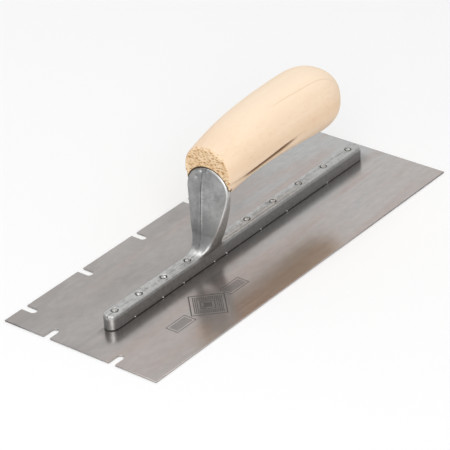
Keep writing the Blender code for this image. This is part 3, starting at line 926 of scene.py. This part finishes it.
def casting_finish():
    f = Finish("cast aluminium", Metallic=1.0)
    x, y, z = f.axes()
    grain = f.noise(f.place, 1500.0, 2.0, 0.6)
    peel = f.noise(f.place, 520.0, 4.0, 0.62)
    mottle = f.noise(f.place, 200.0, 5.0, 0.65)
    upright = f.ramp(z, 0.012, 0.030)
    tint = f.mix(f.ramp(mottle, 0.35, 0.68), (0.57, 0.57, 0.565), (0.49, 0.49, 0.485))
    tint = f.mix(upright * f.ramp(mottle, 0.30, 0.66, 0.35, 0.75), tint, (0.325, 0.33, 0.33))
    # painted shade: the shank is darkened from 13 to 44 mm up
    low = f.ramp(z, 0.013, 0.018) * f.ramp(z, 0.020, 0.044, 1.0, 0.0)
    tint = f.mix(low * 0.85, tint, (0.27, 0.275, 0.275))
    tint = f.mix(f.ramp(peel, 0.50, 0.72, 0.0, 0.45), tint, (0.31, 0.31, 0.305))
    # the flanks: painted shade darkens them along the bar and painted light makes them paler up the
    # shank; the dark and grey patches are the casting's own skin
    normal_x = f.facing()[0]
    flank = f.ramp(normal_x.abs(), 0.72, 0.97)
    tint = f.mix(flank * f.ramp(z, 0.013, 0.022, 0.75, 0.0), tint, (0.26, 0.255, 0.25))
    tint = f.mix(flank * f.ramp(z, 0.014, 0.026, 0.0, 0.8), tint, (0.56, 0.56, 0.55))
    skin = f.noise(f.place, 420.0, 5.0, 0.7)
    tint = f.mix(flank * f.ramp(skin, 0.50, 0.66, 0.0, 0.45), tint, (0.40, 0.395, 0.385))
    tint = f.mix(flank * f.ramp(skin, 0.34, 0.48, 0.45, 0.0), tint, (0.15, 0.148, 0.145))
    # painted shade on the left facet of the shank's front
    shaded = f.ramp(x, -0.0035, -0.0012, 1.0, 0.0) * f.ramp(z, 0.014, 0.022)
    shaded = shaded * f.ramp(z, 0.050, 0.058, 1.0, 0.0)
    tint = f.mix(shaded * 0.30, tint, (0.09, 0.09, 0.09))
    # a painted highlight along the foot's right edge, and the top is smudged
    tint = f.mix((x > 0.00505) * (z < 0.003), tint, (0.85, 0.85, 0.84))
    smudge = f.noise(f.stretched(1.0, 0.3, 1.0), 700.0, 4.0, 0.65)
    dirty = f.ramp(smudge, 0.52, 0.66, 0.0, 0.5) * (z > 0.0095) * f.ramp(z, 0.012, 0.02, 1.0, 0.3)
    tint = f.mix(dirty, tint, (0.22, 0.215, 0.21))
    # the mould's parting line: painted shade in the groove beside its raised edge, broken here and
    # there, and a painted highlight on the raised edge
    wander = (f.noise(f.place, 60.0, 2.0) - 0.5) * 0.0006
    seam = f.layer("seam")
    line = f.ramp((seam * 0.001 + wander + 0.0003).abs(), 0.00012, 0.0005, 1.0, 0.0)
    on_top = (z > 0.0099) * f.ramp(mottle, 0.40, 0.56)
    on_shank = f.ramp(z, 0.016, 0.026) * f.ramp(z, 0.050, 0.056, 1.0, 0.0) * (y < -0.020)
    dark = (on_top * 0.5).max(on_shank * f.ramp(z, 0.020, 0.040, 0.45, 0.95))
    tint = f.mix(line * dark, tint, (0.07, 0.07, 0.07))
    ridge = f.ramp((seam * 0.001 - 0.0006).abs(), 0.0001, 0.0006, 1.0, 0.0)
    tint = f.mix(ridge * on_shank * f.ramp(z, 0.020, 0.045, 0.0, 0.35), tint, (0.62, 0.62, 0.61))
    # painted highlight: the arch's rim and the shank's right-hand edges are painted near white
    rim = f.ramp(normal_x, 0.28, 0.5) * f.ramp(normal_x, 0.62, 0.85, 1.0, 0.0)
    rim = rim * f.ramp(z, 0.02, 0.035)
    over = f.ramp(arch_distance(x, z), 0.91, 0.96) * f.ramp(x, 0.001, 0.005)
    rim = rim.max(over * f.ramp(z, 0.048, 0.053))
    rim = rim * f.ramp(normal_x, 0.80, 0.95, 1.0, 0.0)
    tint = f.mix(rim * 0.7, tint, (0.88, 0.88, 0.87))
    # painted highlight on the two ejector pips
    tint = f.mix(f.layer("pip_highlight") * 0.8, tint, (0.80, 0.80, 0.80))
    # painted shade in the countersinks and along the foot, which are also made rougher
    seat_and_foot_shade = f.layer("seat_and_foot_shade")
    tint = f.mix(seat_and_foot_shade * 0.8, tint, (0.06, 0.055, 0.05))
    rough = f.ramp(mottle, 0.3, 0.7, 0.32, 0.44) + seat_and_foot_shade * 0.2
    normal = f.bump(grain * 0.35 + peel, 0.00018, 0.55)
    f.finish(mounting, Base_Color=tint, Roughness=rough, Normal=normal)
    return f


def paint(piece, name, values):
    """Store one number for each point of a piece, for its finish to read."""
    layer = piece.data.attributes.new(name, "FLOAT", "POINT")
    layer.data.foreach_set("value", values.astype(np.float32))


def paint_casting():
    """Painted shade in the countersinks and at the foot, the way to the parting line, and the pips'
    painted highlight.
    """
    p = mount_points
    nearest = RIVET_Y[np.abs(p[:, 1, None] - RIVET_Y).argmin(1)]
    off = np.hypot(p[:, 0], p[:, 1] - nearest)
    seat = np.clip((SEAT_R + 0.1 - off) / 0.4, 0, 1) * (p[:, 2] > 8.0) * (p[:, 2] < BAR_TOP + 0.3)
    foot = np.clip((FOOT_Z + 0.5 - p[:, 2]) / 0.5, 0, 1)
    paint(mounting, "seat_and_foot_shade", np.maximum(seat, 0.35 * foot))
    paint(mounting, "seam", from_parting_line(*p.T))
    near = [np.hypot(p[:, 0] - pip_x, p[:, 2] - pip_z) for pip_x, pip_z in PIPS]
    paint(mounting, "pip_highlight", np.clip(1.3 - np.min(near, 0), 0, 1) * (p[:, 1] < -18.0))


paint_casting()
casting = casting_finish()
print("casting finish:", len(casting.tree.nodes), "nodes")

# %% [markdown]
# ## Finish of the wood
#
# Pale bare wood: growth layers almost flat across the handle, drawn out along it, with fine
# pores as short dashes.  The sawn front face is rougher and darker, with torn fibres.

# %% Handle wood
def paint_valley():
    """How deep in the valley each point of the handle lies, 0 to 1, as an attribute."""
    points = np.empty(3 * len(handle.data.vertices), np.float32)
    handle.data.vertices.foreach_get("co", points)
    paint(handle, "valley", valley(points.reshape(-1, 3) / MM) / VALLEY_DEEPEST)


def wood_finish():
    f = Finish("handle wood", Metallic=0.0)
    x, y, z = f.axes()
    wander = f.noise(f.stretched(1.0, 0.12, 1.0), 30.0, 2.0)
    layers = ((x * 0.9 + z * 0.45) * 620.0 + wander * 9.0).sin()
    soft = f.noise(f.stretched(1.0, 0.06, 1.0), 140.0, 3.0, 0.55)
    pores = f.noise(f.stretched(1.0, 0.14, 1.0), 1300.0, 3.0, 0.65)
    speck = f.noise(f.stretched(1.0, 0.5, 1.0), 420.0, 3.0, 0.65)
    patch = f.noise(f.stretched(1.0, 0.45, 1.0), 30.0, 4.0, 0.6)
    tint = f.mix(f.ramp(soft, 0.3, 0.75), (0.862, 0.675, 0.497), (0.820, 0.615, 0.432))
    tint = f.mix(f.ramp(layers, 0.4, 1.0, 0.0, 0.07), tint, (0.72, 0.50, 0.29))
    tint = f.mix(f.ramp(patch, 0.42, 0.72, 0.0, 0.6), tint, (0.81, 0.565, 0.37))
    tint = f.mix(f.ramp(pores, 0.55, 0.72, 0.0, 0.34), tint, (0.70, 0.48, 0.29))
    tint = f.mix(f.ramp(speck, 0.50, 0.72, 0.0, 0.45), tint, (0.74, 0.52, 0.33))
    # painted sheen: the handle is lighter and paler towards its top
    tint = f.mix(f.ramp(z, 0.066, 0.086, 0.0, 0.65), tint, (0.90, 0.745, 0.575))
    # one darker growth line high on the side
    line = (x - 0.0112 - (y - 0.055) * 0.06 + (wander - 0.5) * 0.004).abs()
    high = (z > 0.070) * f.ramp(y, 0.025, 0.04) * f.ramp(y, 0.078, 0.09, 1.0, 0.0)
    drawn = f.ramp(line, 0.0001, 0.0006, 1.0, 0.0) * high
    tint = f.mix(drawn * 0.3, tint, (0.60, 0.38, 0.20))
    # painted shade in the valley: its deeper part is painted dark brown
    tint = f.mix(f.ramp(f.layer("valley"), 0.32, 0.78, 0.0, 0.97), tint, (0.15, 0.06, 0.01))
    # the sawn end
    front = f.facing()[1] + (speck - 0.5) * 0.8
    end = f.ramp(front, -0.85, -0.35, 1.0, 0.0) * (y < -0.0168)
    fibres = f.noise(f.stretched(0.5, 0.3, 1.3, (0.0, np.radians(24), 0.0)), 860.0, 4.0, 0.62)
    clumps = f.noise(f.place, 170.0, 3.0, 0.6)
    end_tint = f.mix(f.ramp(clumps, 0.35, 0.65), (0.84, 0.59, 0.34), (0.97, 0.75, 0.50))
    end_tint = f.mix(f.ramp(fibres, 0.49, 0.62, 0.0, 0.9), end_tint, (0.50, 0.25, 0.09))
    tint = f.mix(end, tint, end_tint)
    # painted shadow on the wood round the casting's arch
    arch_shadow = f.ramp(arch_distance(x, z), 1.035, 1.075, 0.85, 0.0) * (y < -0.0155)
    tint = f.mix(arch_shadow, tint, (0.07, 0.035, 0.015))
    rough = f.ramp(soft, 0.3, 0.7, 0.52, 0.62) + end * 0.3
    height = pores * 0.3 + soft * 0.2 + speck * 0.3 - end * f.ramp(fibres, 0.5, 0.7) * 1.4
    normal = f.bump(height, 0.00016, 0.6)
    f.finish(handle, Base_Color=tint, Roughness=rough, Normal=normal)
    return f


paint_valley()
wood = wood_finish()
print("wood finish:", len(wood.tree.nodes), "nodes")

# %% [markdown]
# ## Finish of the rivets and the bolt
#
# The rivets are blotched steel, painted bright at the top of each button as a highlight, so they
# look darker at the rim.  The bolt and washer are zinc plated: cooler, with a slightly cloudy
# surface.

# %% Rivet and bolt steel
def rivet_finish():
    f = Finish("peened rivet steel", Metallic=1.0)
    blotch = f.noise(f.place, 900.0, 3.0, 0.6)
    tint = f.mix(f.ramp(blotch, 0.4, 0.65), (0.66, 0.65, 0.63), (0.34, 0.32, 0.30))
    # painted highlight on the top of each button
    button_highlight = f.ramp(f.axes()[2], (BAR_TOP + 0.05) * MM, (BAR_TOP + 0.22) * MM, 0.0, 0.7)
    tint = f.mix(button_highlight, tint, (0.90, 0.90, 0.88))
    normal = f.bump(blotch, 0.0001, 0.5)
    for number in range(1, len(RIVET_Y) + 1):
        f.finish(bpy.data.objects[f"peened_rivet_{number:02d}"], Base_Color=tint,
                 Roughness=f.ramp(blotch, 0.3, 0.7, 0.22, 0.4), Normal=normal)


def zinc_finish():
    f = Finish("zinc plated steel", Metallic=1.0)
    cloud = f.noise(f.place, 500.0, 4.0, 0.6)
    tint = f.mix(cloud, (0.52, 0.53, 0.53), (0.64, 0.64, 0.61))
    for piece in (bolt, washer):
        f.finish(piece, Base_Color=tint, Roughness=f.ramp(cloud, 0.3, 0.7, 0.28, 0.42),
                 Normal=f.bump(cloud, 0.00005, 0.3))


rivet_finish()
zinc_finish()
print("rivet and zinc finishes made")

# %% [markdown]
# ## Floor and light
#
# The tool lies on a white sweep that runs out of sight, under large soft lights, so the metal
# shows broad gentle gradients and there is hardly any shadow.

# %% Floor and light
def make_floor():
    """A round pale floor just under the blade, large enough to fill any view."""
    angle = full_turn(64)
    ring = 6000.0 * np.stack([np.cos(angle), np.sin(angle)], -1)
    points = level(np.concatenate([ring, [(0.0, 0.0)]]), -0.1)
    j = np.arange(64)
    faces = np.stack([j, (j + 1) % 64, np.full(64, 64)], -1)
    floor = make_piece("floor", points, faces, smooth=False)
    f = Finish("white sweep", Base_Color=(0.885, 0.885, 0.885, 1.0), Specular_IOR_Level=0.0)
    f.finish(floor, Roughness=0.9, Emission_Color=(1.0, 1.0, 1.0, 1.0), Emission_Strength=0.01)


def soft_light(name, position, aim, size, power):
    """A round white area light, size metres across and power watts, turned to face aim."""
    data = bpy.data.lights.new(name, "AREA")
    data.shape = "DISK"
    data.size, data.energy = size, power
    light = placed(name, data)
    light.location = position
    light.rotation_euler = (Vector(aim) - Vector(position)).to_track_quat("-Z", "Y").to_euler()


SHADE_TOWARDS = (0.6, 0.75, 0.3)                 # the sky is a little darker this way
SKY_BRIGHT, SKY_DARK = 0.88, 0.78
DIM_TOWARDS, SKY_DIM = (-0.75, -0.6, 0.3), 0.42  # and much dimmer at the left front


class Sky(Finish):
    """The world's node tree, with the same node methods as a material."""

    def __init__(self):
        world = bpy.data.worlds.new("studio")
        bpy.context.scene.world = world
        world.use_nodes = True
        self.tree = world.node_tree
        self.shader = self.tree.nodes["Background"]
        bright = self.ramp(self.towards(SHADE_TOWARDS), 0.1, 0.9, SKY_BRIGHT, SKY_DARK)
        bright = bright * self.ramp(self.towards(DIM_TOWARDS), 0.5, 0.95, 1.0, SKY_DIM)
        self.feed(self.shader.inputs["Color"], self.mix(bright, (0, 0, 0), (1, 1, 1)))

    def towards(self, way):
        """The cosine of the angle between the direction looked in and way."""
        return self.node("VectorMath", {"operation": "DOT_PRODUCT"},
                         {0: self.node("TexCoord", out="Generated"),
                          1: Vector(way).normalized()}, out="Value")


make_floor()
Sky()
soft_light("overhead", (-0.45, -0.15, 1.5), (0, 0, 0.03), 1.0, 5.0)
soft_light("fill", (1.0, -1.1, 1.05), (0, 0, 0.05), 1.3, 10.0)
bpy.context.scene.view_settings.view_transform = "Standard"

# %% Import json
import json
